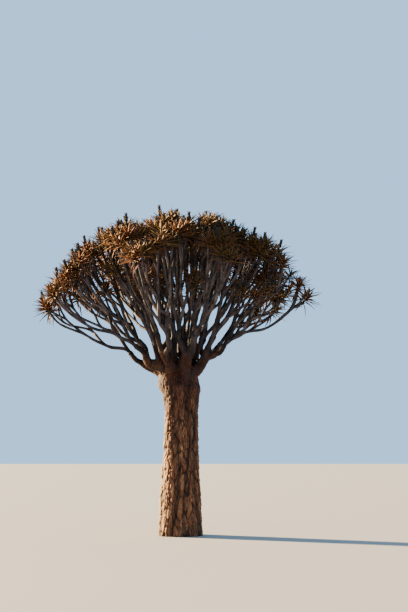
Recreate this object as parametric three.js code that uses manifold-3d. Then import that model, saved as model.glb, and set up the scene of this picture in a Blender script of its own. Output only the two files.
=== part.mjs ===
// A kokerboom, or quiver tree: a stout trunk that forks low into boughs, each ending in a mass of forking stems that
// carry heads of fleshy leaves, under one wide dome. Millimetres, +Z up, origin at the foot of the trunk.
import * as THREE from "three";
import { mergeVertices } from "three/addons/utils/BufferGeometryUtils.js";
import Module from "manifold-3d";

const wasm = await Module();
wasm.setup();
const { Manifold, Mesh } = wasm;

// Whole tree
const TREE_HEIGHT = 6000;
const CROWN_X = -60; // the crown leans a little to the left of the trunk's foot
const HEADS_ALIVE = 450; // leaf heads on the living tree, which set how stout each stem is
const CLEARANCE = 0.3; // gap between one solid and the next
const SHORT_EDGE = 0.05; // edges shorter than this are closed up

// Trunk: radius at each height, from the flared foot to the shoulder under the fork
const TRUNK_PROFILE = [
  [0, 418],
  [150, 404],
  [560, 388],
  [1030, 354],
  [1580, 330],
  [2200, 313],
  [2420, 324],
  [2580, 342],
  [2670, 332],
  [2750, 270],
  [2800, 160],
];
const TRUNK_LOBE = 0.035; // share of the radius by which the trunk is out of round
const TRUNK_LOBES = [3, 5]; // broad lobes round the trunk, and lesser ones between them
const LOBE_TWIST = 700; // height over which the lesser lobes turn by a radian
const FURROWS = 9; // long furrows down the bark, with ribs between
const FURROW_DEPTH = 0.075; // as a share of the radius
const FURROW_WIDTH = 0.14; // in radians
const FURROW_STRAY = 0.16; // how far a furrow strays round the trunk, in radians
const FURROW_WAVE = 420; // height over which its straying turns by a radian
const FURROW_BANKS = [0, 0.2, 0.5, 0.8]; // where the column's sides run, as shares of the way to the next furrow
const TRUNK_LEAN = 12; // drift to the right from the foot to the fork

// Fork and boughs. A place in the crown is (x, y, rise): x and y on a unit disc seen from above say where on the
// dome a stem is bound, and rise is the share of the way from the fork to the dome.
const FORK = new THREE.Vector3(-20, 0, 2560);
const FOOT_RISE = -0.1; // where the limbs start, inside the trunk
const BOUGHS = 28;
const FORK_SPREAD = 500; // how far out the limbs of the rim stand over the trunk's head
const FORK_HEIGHT = 350; // over which they spread so far
const FORK_DEPTH = 100; // how far inside the trunk's head they begin to
const FORK_RISES = [0, 0.06, 0.11, 0.165, 0.235];
const FORK_PUSH = [1, 1.1, 0.85, 1, 1]; // how far the forks stand out from the middle of their load
const LIMB_SHARE = 1.4; // limbs are this much stouter, by the heads they carry, than stems are
const CROOK = 0.1; // how far a fork may stray, on the unit disc
const HEAD_RISE = 0.185; // where the trunk's own limbs end and the boughs begin
const BOUGH_RISE = 0.3; // where a bough ends and its mass begins
const LIMB_SIDES = 7;
const BOUGH_SIDES = 6;
const BEND = [1, 1.85]; // how sharply a stem turns up, in radians, in the middle of the crown and at its rim
const BEND_EASE = [1.3, 1.9]; // the higher, the more steeply a stem starts

// Dome on which the leaf heads sit
const DOME_TOP = 5700;
const DOME_HALF_WIDTH = 2500;
const DOME_HALF_DEPTH = 2100;
const RIM_LEFT = 4150;
const RIM_RIGHT = 4150;
const RIM_FRONT = 4900;
const SHOULDER = 3.5; // how full the dome is: 2 is a parabola
const SHOULDER_RIGHT = 0.4; // how much fuller the right side is than the middle
// The dome's bumps and dips: where each stands across the dome, its height and its breadth
const BUMPS = [
  [-0.38, 60, 0.1],
  [-0.23, -110, 0.08],
  [0.03, 80, 0.2],
  [0.52, -150, 0.13],
  [0.66, 100, 0.07],
];

// Stems and leaf heads in the masses
const HEADS_A_MASS = 4;
const EVEN = 0.5; // crowding of places that are spread evenly over a disc
const RIM_CROWDING = 0.43; // below that, masses stand closer at the rim, where the dome is steep
const MASS_INSET = 0.92; // how far out the outermost mass is centred
const MASS_TURN = 1.09; // turns the whole pattern of masses so that one stands at each side's tip
const MASS_STRAY = 0.12; // how far a mass strays round the pattern, in radians
const MASS_SPREAD = 0.14; // how far a mass's heads stand from its middle
const HEAD_STRAY = 0.6; // how far a head strays round its mass, in radians
const HEAD_MARGIN = 0.03; // how far a head keeps from the next mass
const OUTERMOST = 0.97; // how far out a head may stand
const DRAW_IN = 0.05; // a head too far out or too near the next mass is drawn in by this share at a time
const TWIG_RISES = [0.37, 0.48];
const TWIG_SIDES = 3;
const TWIG_RADIUS = 23;
const TWIG_GROWTH = 0.29; // how fast a stem thickens with the heads it carries, in the masses
const BOUGH_GROWTH = 0.51; // and in the boughs
const HEADS_A_BOUGH = HEADS_ALIVE / BOUGHS;
const TWIG_SWELL = 0.25; // where along its first stretch a side stem has its full thickness
const TWIG_BEND = 0.6; // where along its last stretch a stem bends upward
const TWIG_UPTURN = 0.4; // how far a stem turns from its own line to upright by its end
const FORK_UPTURN = 0.13; // and by each fork on the way
const LOW_HEAD_SHARE = 0.16; // share of the stems that stop short, under the dome
const LOW_HEAD_RISE = [0.66, 0.84];
const LOW_HEAD_REACH = 0.88; // none of them stand further out

// Leaves
const LEAVES_A_HEAD = 5;
const LEAF_SIZES = [1, 0.8, 0.62]; // a leaf that would leave its mass's space is tried again shorter
const LEAF_LENGTH = 370;
const LEAF_WIDTH = 110;
const LEAF_WIDEST = 0.36; // where along the leaf it is widest
const LEAF_ROW = 110; // length of stem over which a head's leaves are set
const CORE_RADIUS = 44; // thickened end of the stem, which the leaves' roots are sunk in
const LEAF_SPREAD = [0.7, 1.85]; // angle between the leaves and the stem, innermost and outermost
const LEAF_CURL = 0.17; // how far the tip rises, as a share of the length, which also makes the leaf thick
const LEAF_STRAY = 0.12; // share by which a leaf may be longer or shorter
const LEAF_MARGIN = 0.006; // clearance of a leaf to the next mass, on the unit disc
const LEAF_FLOOR = 0.45; // the rise above which leaves stay, clear of the boughs

// Spent flower spikes
const SPIKE_SHARE = 0.16;
const SPIKE_HEIGHT = 300;
const SPIKE_RADIUS = 26;
const SPIKE_WAIST = 0.72; // where up the spike it is widest

const GOLDEN_ANGLE = Math.PI * (3 - Math.sqrt(5));
const UP = new THREE.Vector3(0, 0, 1);

const bark = new THREE.MeshStandardMaterial({ name: "trunk_bark", color: 0xa07a52, roughness: 0.85 });
const skin = new THREE.MeshStandardMaterial({ name: "bough_bark", color: 0x6d605c, roughness: 0.7 });
const foliage = new THREE.MeshStandardMaterial({ name: "foliage", color: 0x7c6434, roughness: 0.6 });

// A seeded generator of numbers from 0 to 1
function seeded(seed) {
  let state = seed;
  return () => {
    state = (state * 1664525 + 1013904223) % 4294967296;
    return state / 4294967296;
  };
}

const lerp = THREE.MathUtils.lerp;

// Radius of a stem that carries so many leaf heads
function stemRadius(heads) {
  const inMass = TWIG_RADIUS * Math.min(heads, HEADS_A_BOUGH) ** TWIG_GROWTH;
  return inMass * Math.max(heads / HEADS_A_BOUGH, 1) ** BOUGH_GROWTH;
}

// The dome over a place on the disc
function domePoint(x, y) {
  const out = Math.hypot(x, y);
  const side = out > 0 ? x / out : 0;
  const sideRim = lerp(RIM_LEFT, RIM_RIGHT, (side + 1) / 2);
  const rim = lerp(RIM_FRONT, sideRim, side * side);
  const fall = (DOME_TOP - rim) * out ** (SHOULDER + SHOULDER_RIGHT * side);
  const lump = BUMPS.reduce((sum, [at, height, breadth]) => {
    return sum + height * Math.exp(-(((x - at) / breadth) ** 2) - y * y);
  }, 0);
  return new THREE.Vector3(CROWN_X + x * DOME_HALF_WIDTH, y * DOME_HALF_DEPTH, DOME_TOP - fall + lump);
}

// A place in the crown as a point in space
function crownPoint({ x, y, rise }) {
  const reach = domePoint(x, y).sub(FORK);
  const rim = Math.min(Math.hypot(x, y), 1) ** 2;
  const eased = Math.sign(rise) * Math.abs(rise) ** lerp(...BEND_EASE, rim);
  const bend = lerp(...BEND, rim);
  const outward = Math.sin(bend * eased) / Math.sin(bend);
  const spread = FORK_SPREAD * (1 - Math.exp(-(reach.z * rise + FORK_DEPTH) / FORK_HEIGHT));
  const across = lerp(x * spread, reach.x, outward);
  const deep = lerp(y * spread, reach.y, outward);
  return new THREE.Vector3(FORK.x + across, FORK.y + deep, FORK.z + reach.z * rise);
}

// The place in the crown of a point in space, by Newton's method
function crownPlace(point) {
  const step = 1e-4;
  const place = { x: 0, y: 0, rise: 1 };
  for (let pass = 0; pass < 8; pass++) {
    const here = crownPoint(place);
    const slope = (key) => crownPoint({ ...place, [key]: place[key] + step }).sub(here).divideScalar(step);
    const slopes = new THREE.Matrix4().makeBasis(slope("x"), slope("y"), slope("rise"));
    const move = point.clone().sub(here).applyMatrix4(slopes.invert());
    place.x += move.x;
    place.y += move.y;
    place.rise += move.z;
  }
  return place;
}

// Places spread evenly over the disc like the seeds of a sunflower, each a little off its mark
function sunflower(count, inset, crowding, turn, random, stray) {
  return Array.from({ length: count }, (_, n) => {
    const out = inset * ((n + 0.5) / count) ** crowding;
    const angle = turn + n * GOLDEN_ANGLE + (random() - 0.5) * stray;
    return { x: out * Math.cos(angle), y: out * Math.sin(angle) };
  });
}

function middle(places) {
  const sum = (key) => places.reduce((total, place) => total + place[key], 0) / places.length;
  return { x: sum("x"), y: sum("y") };
}

// Halves a group of places across its widest spread
function halves(places) {
  const mean = middle(places);
  let spreadX = 0;
  let spreadY = 0;
  let slant = 0;
  for (const place of places) {
    const dx = (place.x - mean.x) * DOME_HALF_WIDTH;
    const dy = (place.y - mean.y) * DOME_HALF_DEPTH;
    spreadX += dx * dx;
    spreadY += dy * dy;
    slant += dx * dy;
  }
  const angle = 0.5 * Math.atan2(2 * slant, spreadX - spreadY);
  const width = DOME_HALF_WIDTH * Math.cos(angle);
  const depth = DOME_HALF_DEPTH * Math.sin(angle);
  const along = (place) => place.x * width + place.y * depth;
  const sorted = [...places].sort((a, b) => along(a) - along(b));
  const half = Math.ceil(places.length / 2);
  return [sorted.slice(0, half), sorted.slice(half)];
}

// A closed mesh of three.js as a solid
function solid(geometry) {
  geometry.deleteAttribute("uv");
  geometry.deleteAttribute("normal");
  const merged = mergeVertices(geometry, 1e-3);
  const vertProperties = merged.getAttribute("position").array;
  const corners = merged.index.array;
  const triVerts = [];
  for (let n = 0; n < corners.length; n += 3) {
    const triangle = [...corners.slice(n, n + 3)];
    if (new Set(triangle).size === 3) triVerts.push(...triangle);
  }
  return new Manifold(new Mesh({ numProp: 3, vertProperties, triVerts: new Uint32Array(triVerts) }));
}

// A solid back as a named mesh of three.js
function toMesh(shape, name, material) {
  const made = shape.getMesh();
  const geometry = new THREE.BufferGeometry();
  geometry.setAttribute("position", new THREE.BufferAttribute(made.vertProperties, 3));
  geometry.setIndex(new THREE.BufferAttribute(made.triVerts, 1));
  const mesh = new THREE.Mesh(geometry.toNonIndexed(), material);
  mesh.geometry.computeVertexNormals();
  mesh.name = name;
  return mesh;
}

// The largest body of a solid, without loose scraps, sealed hollows and needless short edges
function largest(shape) {
  return shape.simplify(SHORT_EDGE).decompose().sort((a, b) => b.volume() - a.volume())[0];
}

// A tapering tube through rings of { centre, radius, along }, bent from a three.js cylinder. "lobe" may put its
// section out of round, and "turned" may move its sides round it.
function tube(rings, sides, lobe = () => 1, turned = (angle) => angle) {
  const last = rings.length - 1;
  const chord = rings[last].centre.clone().sub(rings[0].centre);
  const across = new THREE.Vector3(-chord.y, chord.x, 0);
  if (across.length() < 1e-3 * chord.length()) across.set(1, 0, 0);
  const frames = rings.map((ring) => {
    const first = across.clone().addScaledVector(ring.along, -across.dot(ring.along)).normalize();
    return { ...ring, first, second: first.clone().cross(ring.along) };
  });
  const geometry = new THREE.CylinderGeometry(1, 1, 1, sides, last);
  const position = geometry.getAttribute("position");
  for (let v = 0; v < position.count; v++) {
    const ring = frames[Math.round((position.getY(v) + 0.5) * last)];
    const x = position.getX(v);
    const z = position.getZ(v);
    const angle = turned(Math.atan2(z, x), ring.centre.z);
    const out = Math.hypot(x, z) * ring.radius * lobe(angle, ring.centre.z);
    const point = ring.centre.clone();
    point.addScaledVector(ring.first, out * Math.cos(angle)).addScaledVector(ring.second, out * Math.sin(angle));
    position.setXYZ(v, point.x, point.y, point.z);
  }
  return solid(geometry);
}

// The rings of a limb along a smooth line through its places in the crown
function limbRings(places, steps) {
  const line = new THREE.CatmullRomCurve3(places.map(({ x, y, rise }) => new THREE.Vector3(x, y, rise)));
  const last = places.length - 1;
  const rings = [];
  for (let n = 0; n <= last * steps; n++) {
    const { x, y, z } = line.getPoint(n / (last * steps));
    const from = places[Math.floor(n / steps)];
    const to = places[Math.min(Math.floor(n / steps) + 1, last)];
    const radius = lerp(from.radius, to.radius, (n % steps) / steps);
    rings.push({ centre: crownPoint({ x, y, rise: z }), radius, rise: z });
  }
  rings.forEach((ring, n) => {
    const before = rings[Math.max(n - 1, 0)].centre;
    const after = rings[Math.min(n + 1, rings.length - 1)].centre;
    ring.along = after.clone().sub(before).normalize();
  });
  return rings;
}

// The same rings grown by a clearance all round, and past both ends
function widened(rings, by) {
  return rings.map((ring, n) => {
    const push = n === 0 ? -by : n === rings.length - 1 ? by : 0;
    const centre = ring.centre.clone().addScaledVector(ring.along, push);
    return { ...ring, centre, radius: ring.radius + by };
  });
}

// The limbs that carry a group of masses. At each fork the limb carries on to one half of the group, and a side limb
// leaves it for the other half.
function growLimbs(group, level, places, limbs, random) {
  if (group.length === 1) {
    places.push({ ...group[0], rise: BOUGH_RISE, radius: stemRadius(HEADS_A_BOUGH) });
    limbs.push({ places, mass: group[0] });
    return;
  }
  const radius = stemRadius(LIMB_SHARE * group.length * HEADS_A_BOUGH);
  const { x, y } = middle(group);
  const stray = () => CROOK * (2 * random() - 1);
  const push = FORK_PUSH[level];
  const fork = { x: x * push + stray(), y: y * push + stray(), rise: FORK_RISES[level], radius };
  places.push(fork);
  const [main, side] = halves(group);
  const sideStart = { ...fork, radius: stemRadius(LIMB_SHARE * side.length * HEADS_A_BOUGH) };
  growLimbs(main, level + 1, places, limbs, random);
  growLimbs(side, level + 1, [sideStart], limbs, random);
}

// The stems of a mass. At each fork the stem carries on to one half of the heads, and a side stem, which starts as a
// point on its parent's line, leaves it for the other half.
function growTwigs(group, level, rings, mass, parts, random) {
  const single = group.length === 1;
  const to = single ? group[0] : { ...middle(group), rise: TWIG_RISES[level] };
  const from = rings[rings.length - 1];
  const end = crownPoint(to);
  const chord = end.clone().sub(from.centre);
  const along = chord.clone().normalize().lerp(UP, single ? TWIG_UPTURN : FORK_UPTURN).normalize();
  const line = new THREE.CubicBezierCurve3(
    from.centre,
    from.centre.clone().addScaledVector(from.along, chord.length() / 3),
    end.clone().addScaledVector(along, -chord.length() / 3),
    end,
  );
  const radius = stemRadius((group.length / mass.heads.length) * HEADS_A_BOUGH);
  const middleRing = (share) => ({ centre: line.getPoint(share), along: line.getTangent(share), radius });
  if (from.radius === 0) rings.push(middleRing(TWIG_SWELL));
  if (single) {
    rings.push({ ...middleRing(TWIG_BEND), radius: (radius + TWIG_RADIUS) / 2 });
    rings.push({ centre: end.clone().addScaledVector(along, -LEAF_ROW), along, radius: CORE_RADIUS });
    rings.push({ centre: end, along, radius: CORE_RADIUS });
    parts.push(tube(rings, TWIG_SIDES));
    growHead(end, along, mass, parts, random);
    return;
  }
  const [main, side] = halves(group);
  rings.push({ centre: end, along, radius });
  growTwigs(main, level + 1, rings, mass, parts, random);
  growTwigs(side, level + 1, [{ centre: end, along, radius: 0 }], mass, parts, random);
}

// A leaf: a kite with a folded back, which curls up to its tip, its root sunk in the stem
function leaf(root, out, up, length) {
  const across = out.clone().cross(up).normalize();
  const widest = root.clone().addScaledVector(out, length * LEAF_WIDEST);
  const tip = root.clone().addScaledVector(out, length).addScaledVector(up, length * LEAF_CURL);
  const left = widest.clone().addScaledVector(across, -LEAF_WIDTH / 2);
  const right = widest.clone().addScaledVector(across, LEAF_WIDTH / 2);
  return [root, left, right, tip];
}

// Whether a place is nearer to its mass than to any other, with a margin on the unit disc
function inCell(place, mass, margin) {
  const gap = (other) => Math.hypot(place.x - other.x, place.y - other.y);
  return centres.every((other) => {
    const apart = Math.hypot(other.x - mass.x, other.y - mass.y);
    return other === mass || gap(other) ** 2 - gap(mass) ** 2 > 2 * margin * apart;
  });
}

// Whether points lie in the space that a mass has to itself
function inSpace(points, mass) {
  return points.every((point) => {
    const place = crownPlace(point);
    return inCell(place, mass, LEAF_MARGIN) && place.rise > LEAF_FLOOR && point.z < TREE_HEIGHT;
  });
}

// A head of leaves round the end of a stem, and sometimes the spent flower spike above it
function growHead(end, axis, mass, parts, random) {
  const side = new THREE.Vector3(axis.z, 0, -axis.x).normalize();
  const turn = random() * Math.PI * 2;
  for (let n = 0; n < LEAVES_A_HEAD; n++) {
    const share = (n + 0.5) / LEAVES_A_HEAD;
    const root = end.clone().addScaledVector(axis, -LEAF_ROW * (1 - share));
    const spread = lerp(LEAF_SPREAD[1], LEAF_SPREAD[0], share);
    const round = side.clone().applyAxisAngle(axis, turn + n * GOLDEN_ANGLE);
    const out = axis.clone().multiplyScalar(Math.cos(spread)).addScaledVector(round, Math.sin(spread));
    const up = axis.clone().addScaledVector(out, -axis.dot(out)).normalize();
    const length = LEAF_LENGTH * (1 + LEAF_STRAY * (2 * random() - 1));
    const fitting = LEAF_SIZES.map((size) => leaf(root, out, up, length * size)).find((points) =>
      inSpace(points.slice(1), mass),
    );
    if (fitting) parts.push(Manifold.hull(fitting.map((point) => point.toArray())));
  }
  if (random() < SPIKE_SHARE) {
    const top = end.clone().addScaledVector(axis, SPIKE_HEIGHT);
    const waist = end.clone().addScaledVector(axis, SPIKE_HEIGHT * SPIKE_WAIST);
    const ring = [0, 1, 2].map((n) => {
      const round = side.clone().applyAxisAngle(axis, (n * Math.PI * 2) / 3);
      return waist.clone().addScaledVector(round, SPIKE_RADIUS);
    });
    const foot = end.clone().addScaledVector(axis, -TWIG_RADIUS);
    const points = [foot, ...ring, top];
    if (inSpace(points.slice(1), mass)) parts.push(Manifold.hull(points.map((point) => point.toArray())));
  }
}

// Where round the trunk a furrow runs
function furrowAngle(n, height) {
  const stray = Math.sin(n * 2.4) + Math.sin(height / FURROW_WAVE + n * 1.7);
  return (n * 2 * Math.PI) / FURROWS + FURROW_STRAY * stray;
}

// How deep in a furrow a place on the trunk is, from 0 on a rib to 1
function furrow(angle, height) {
  let depth = 0;
  for (let n = 0; n < FURROWS; n++) {
    const apart = angle - furrowAngle(n, height);
    depth += Math.exp(-((Math.atan2(Math.sin(apart), Math.cos(apart)) / FURROW_WIDTH) ** 2));
  }
  return Math.min(depth, 1);
}

// A side of the column moved round it so that each furrow has one side in it and one on each bank
function furrowSide(angle, height) {
  const sides = FURROWS * FURROW_BANKS.length;
  const side = (Math.round((angle / (2 * Math.PI)) * sides) + sides) % sides;
  const n = Math.floor(side / FURROW_BANKS.length);
  const next = n + 1 < FURROWS ? furrowAngle(n + 1, height) : furrowAngle(0, height) + 2 * Math.PI;
  return lerp(furrowAngle(n, height), next, FURROW_BANKS[side % FURROW_BANKS.length]);
}

// The trunk's column, from the flat cut at the ground to the rounded top inside the fork
function trunkColumn(by) {
  const shoulder = TRUNK_PROFILE[TRUNK_PROFILE.length - 1][0];
  const rings = TRUNK_PROFILE.map(([height, radius]) => ({
    centre: new THREE.Vector3((TRUNK_LEAN * height) / shoulder, 0, height),
    radius: radius + by,
    along: UP,
  }));
  const lobe = (angle, height) => {
    const lesser = Math.cos(TRUNK_LOBES[1] * angle + height / LOBE_TWIST) / 2;
    const round = 1 + TRUNK_LOBE * (Math.cos(TRUNK_LOBES[0] * angle) + lesser);
    return round - FURROW_DEPTH * furrow(angle, height);
  };
  return tube(rings, FURROWS * FURROW_BANKS.length, lobe, furrowSide);
}

// Where the masses stand, and the heads of each, drawn in where they would stand in the next mass
const centres = sunflower(BOUGHS, MASS_INSET, RIM_CROWDING, MASS_TURN, seeded(11), MASS_STRAY);
const headRandom = seeded(23);
for (const centre of centres) {
  const turn = headRandom() * 2 * Math.PI;
  centre.heads = sunflower(HEADS_A_MASS, MASS_SPREAD, EVEN, turn, headRandom, HEAD_STRAY).map(({ x, y }) => {
    const low = headRandom() < LOW_HEAD_SHARE;
    const head = { x: centre.x + x, y: centre.y + y, rise: low ? lerp(...LOW_HEAD_RISE, headRandom()) : 1 };
    if (Math.hypot(head.x, head.y) > LOW_HEAD_REACH) head.rise = 1;
    while (!inCell(head, centre, HEAD_MARGIN) || Math.hypot(head.x, head.y) > OUTERMOST) {
      head.x = lerp(head.x, centre.x, DRAW_IN);
      head.y = lerp(head.y, centre.y, DRAW_IN);
    }
    return head;
  });
}

// The limbs, from inside the trunk's top to the masses
const limbs = [];
const limbFoot = { x: 0, y: 0, rise: FOOT_RISE, radius: stemRadius(HEADS_ALIVE) };
growLimbs(centres, 0, [limbFoot], limbs, seeded(37));

const RING_STEPS = 2;
const tree = new THREE.Group();
tree.name = "kokerboom_tree";

// The trunk takes in the foot of every limb that starts below the head rise
for (const limb of limbs) {
  limb.rings = limbRings(limb.places, RING_STEPS);
  limb.headEnd = limb.rings.findIndex((ring) => ring.rise >= HEAD_RISE - 1e-6);
  limb.fromTrunk = limb.places[0].rise < HEAD_RISE;
}
const trunkBody = (by) =>
  Manifold.union([
    trunkColumn(by),
    ...limbs
      .filter((limb) => limb.fromTrunk)
      .map((limb) => tube(widened(limb.rings.slice(0, limb.headEnd + 1), by), LIMB_SIDES)),
  ]);
tree.add(toMesh(largest(trunkBody(0)), "trunk", bark));

// Each bough is cut clear of the trunk and of the boughs before it
let taken = trunkBody(CLEARANCE);
limbs.forEach((limb, n) => {
  const rings = limb.fromTrunk ? limb.rings.slice(limb.headEnd) : limb.rings;
  const body = largest(tube(rings, BOUGH_SIDES).subtract(taken));
  tree.add(toMesh(body, `bough_${String(n + 1).padStart(2, "0")}`, skin));
  taken = taken.add(tube(widened(rings, CLEARANCE), BOUGH_SIDES));
  limb.tip = rings[rings.length - 1];
});

// Each mass grows on from its bough's tip
limbs.forEach((limb, n) => {
  const parts = [];
  const { along, radius } = limb.tip;
  const foot = { centre: limb.tip.centre.clone().addScaledVector(along, CLEARANCE), along, radius };
  growTwigs(limb.mass.heads, 0, [foot], limb.mass, parts, seeded(101 + n));
  tree.add(toMesh(largest(Manifold.union(parts)), `mass_${String(n + 1).padStart(2, "0")}`, foliage));
});

export default tree;
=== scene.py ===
import math

import bpy
import numpy as np
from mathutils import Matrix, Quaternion, Vector, noise


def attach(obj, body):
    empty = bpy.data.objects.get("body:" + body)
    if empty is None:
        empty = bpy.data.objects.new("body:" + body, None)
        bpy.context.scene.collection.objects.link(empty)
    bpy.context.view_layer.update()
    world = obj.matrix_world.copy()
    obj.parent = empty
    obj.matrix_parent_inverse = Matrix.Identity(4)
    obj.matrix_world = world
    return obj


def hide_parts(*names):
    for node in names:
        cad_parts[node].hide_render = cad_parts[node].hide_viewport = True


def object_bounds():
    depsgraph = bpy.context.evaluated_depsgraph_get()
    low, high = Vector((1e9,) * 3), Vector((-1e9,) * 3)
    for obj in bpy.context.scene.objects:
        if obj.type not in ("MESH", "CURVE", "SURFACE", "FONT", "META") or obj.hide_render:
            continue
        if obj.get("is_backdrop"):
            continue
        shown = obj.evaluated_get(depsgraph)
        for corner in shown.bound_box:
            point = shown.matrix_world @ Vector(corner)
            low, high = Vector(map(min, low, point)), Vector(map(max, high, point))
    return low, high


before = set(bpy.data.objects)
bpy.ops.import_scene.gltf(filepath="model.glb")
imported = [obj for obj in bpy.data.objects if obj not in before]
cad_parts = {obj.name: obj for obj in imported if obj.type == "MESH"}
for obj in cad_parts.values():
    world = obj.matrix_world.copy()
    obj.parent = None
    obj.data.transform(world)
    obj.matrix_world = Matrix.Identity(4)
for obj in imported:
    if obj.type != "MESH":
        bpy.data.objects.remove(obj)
cad_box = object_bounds()

# The trunk's column
# A stout trunk of soft, fibrous wood that flares a little where it stands on the ground. It is cut flat
# there. A disc is extruded ring by ring up to the shoulder under the fork, and its section is then put
# out of round.
TRUNK_PROFILE = [
    (0, 0.418),
    (0.15, 0.404),
    (0.56, 0.388),
    (1.03, 0.354),
    (1.58, 0.33),
    (2.2, 0.313),
    (2.4, 0.322),
    (2.52, 0.338),
    (2.62, 0.356),
    (2.7, 0.345),
    (2.8, 0.28),
    (2.92, 0.19),
    (3, 0.08),
]  # heights and the radii there
TRUNK_SIDES = 108
TRUNK_LOBE = 0.035  # share of the radius by which the trunk is out of round
TRUNK_LOBES = (3, 5)  # broad lobes round the trunk, and lesser ones between them
LOBE_TWIST = 0.7  # height over which the lesser lobes turn by a radian
FURROWS = 9  # long furrows down the bark, with ribs between
FURROW_DEPTH = 0.075  # as a share of the radius
FURROW_WIDTH = 0.14  # in radians, as is how far a furrow strays
FURROW_STRAY = 0.16
FURROW_WAVE = 0.42  # height over which its straying turns by a radian
FURROW_OFFSET = 2.4  # sets one furrow's place off from the next one's, in radians
FURROW_PHASE = 1.7  # and its straying
TRUNK_LEAN = 0.012  # drift to the right from the foot to the fork
TRUNK_BELOW = 0.04  # spare length under the ground, which is cut off again at the end


def furrow(angle, height):
    """How deep in a furrow a place on the trunk is, from 0 on a rib to 1."""
    depth = 0
    for n in range(FURROWS):
        stray = math.sin(n * FURROW_OFFSET) + math.sin(height / FURROW_WAVE + n * FURROW_PHASE)
        apart = angle - n * 2 * math.pi / FURROWS - FURROW_STRAY * stray
        apart = math.atan2(math.sin(apart), math.cos(apart))
        depth += math.exp(-((apart / FURROW_WIDTH) ** 2))
    return min(depth, 1)


shoulder = TRUNK_PROFILE[-1][0]
bpy.ops.object.select_all(action="DESELECT")
bpy.ops.mesh.primitive_circle_add(
    vertices=TRUNK_SIDES, radius=TRUNK_PROFILE[0][1], fill_type="NGON", location=(0, 0, -TRUNK_BELOW)
)
column = bpy.context.object
column.name = "column"
bpy.ops.object.mode_set(mode="EDIT")
bpy.ops.mesh.select_all(action="SELECT")
height, radius = -TRUNK_BELOW, TRUNK_PROFILE[0][1]
for next_height, next_radius in TRUNK_PROFILE:
    rise = next_height - height
    lean = TRUNK_LEAN * rise / shoulder
    bpy.ops.mesh.extrude_region_move(TRANSFORM_OT_translate={"value": (lean, 0, rise)})
    size = next_radius / radius
    middle = (TRUNK_LEAN * next_height / shoulder, 0, next_height)
    bpy.ops.transform.resize(value=(size, size, 1), center_override=middle)
    height, radius = next_height, next_radius
bpy.ops.object.mode_set(mode="OBJECT")
bpy.ops.object.transform_apply(location=True, rotation=True, scale=True)
for vertex in column.data.vertices:
    x, y, z = vertex.co
    centre = TRUNK_LEAN * z / shoulder
    angle = math.atan2(x - centre, y)
    lesser = math.cos(TRUNK_LOBES[1] * angle + z / LOBE_TWIST) / 2
    lobe = 1 + TRUNK_LOBE * (math.cos(TRUNK_LOBES[0] * angle) + lesser) - FURROW_DEPTH * furrow(angle, z)
    vertex.co = (centre + (x - centre) * lobe, y * lobe, z)

# The limbs
# The trunk forks again and again into limbs, each one tapering, that bear the 28 masses of foliage under
# one dome. A place in the crown is (x, y, rise): x and y on a unit disc seen from above say where on the
# dome a limb is bound, and rise is the share of the way there from the fork.
CROWN_X = -0.06  # the crown leans a little to the left of the trunk's foot
HEADS_ALIVE = 450  # leaf heads that the limbs' girths are worked out for
FORK = Vector((-0.02, 0, 2.56))
FOOT_RISE = -0.1  # where the limbs start, inside the trunk
BOUGHS = 28
FORK_SPREAD = 0.5  # how far out the limbs of the rim stand over the trunk's head
FORK_HEIGHT = 0.35  # over which they spread so far
FORK_DEPTH = 0.1  # how far inside the trunk's head they begin to spread
FORK_RISES = (0, 0.06, 0.11, 0.165, 0.235)  # how high each fork in turn stands
FORK_PUSH = (1, 1.1, 0.85, 1, 1)  # how far the forks stand out from the middle of their load
LIMB_SHARE = 1.4  # limbs are this much stouter, by the heads they carry, than stems are
CROOK = 0.1  # how far a fork may stray, on the unit disc
BOUGH_RISE = 0.3  # where a bough ends and its mass begins
BEND = (1, 1.85)  # how sharply a limb turns up, in radians, in the crown's middle and at its rim
BEND_EASE = (1.3, 1.9)  # the higher, the more steeply a limb starts
DOME_TOP = 5.7
DOME_HALF_WIDTH = 2.5
DOME_HALF_DEPTH = 2.1
RIM_LEFT = 4.15  # height of the dome's rim
RIM_RIGHT = 4.15
RIM_FRONT = 4.9
SHOULDER = 3.5  # how full the dome is: 2 is a parabola
SHOULDER_RIGHT = 0.4  # how much fuller its right side is than its middle
BUMPS = (
    (-0.38, 0.06, 0.1),
    (-0.23, -0.11, 0.08),
    (0.03, 0.08, 0.2),
    (0.52, -0.15, 0.13),
    (0.66, 0.1, 0.07),
)  # where each stands across the dome, its height and its breadth
MASS_INSET = 0.92  # how far out the outermost mass is centred
RIM_CROWDING = 0.43  # under a half, masses stand closer at the rim, where the dome is steep
MASS_TURN = 1.09  # turns the pattern of masses so that one stands at each side's tip
MASS_STRAY = 0.12  # how far a mass strays round the pattern, in radians
STEM_RADIUS = 0.023
STEM_GROWTH = 0.29  # how fast a stem thickens with the heads it carries, in the masses
BOUGH_GROWTH = 0.51  # and in the boughs
HEADS_A_BOUGH = HEADS_ALIVE / BOUGHS
GOLDEN_ANGLE = math.pi * (3 - math.sqrt(5))
UP = Vector((0, 0, 1))
RANDOM_STEP = 1664525
RANDOM_SHIFT = 1013904223
RANDOM_RANGE = 4294967296
MASS_SEED = 11
LIMB_SEED = 37
LIMB_STEPS = 6  # to each stretch of a limb
NO_GAP = 1e-4  # places nearer to each other than this count as one


def seeded(seed):
    """A generator of numbers from 0 to 1."""
    state = seed
    while True:
        state = (state * RANDOM_STEP + RANDOM_SHIFT) % RANDOM_RANGE
        yield state / RANDOM_RANGE


def lerp(start, end, share):
    return start + (end - start) * share


def stem_radius(heads):
    """Radius of a stem that carries so many leaf heads."""
    in_mass = STEM_RADIUS * min(heads, HEADS_A_BOUGH) ** STEM_GROWTH
    return in_mass * max(heads / HEADS_A_BOUGH, 1) ** BOUGH_GROWTH


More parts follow.
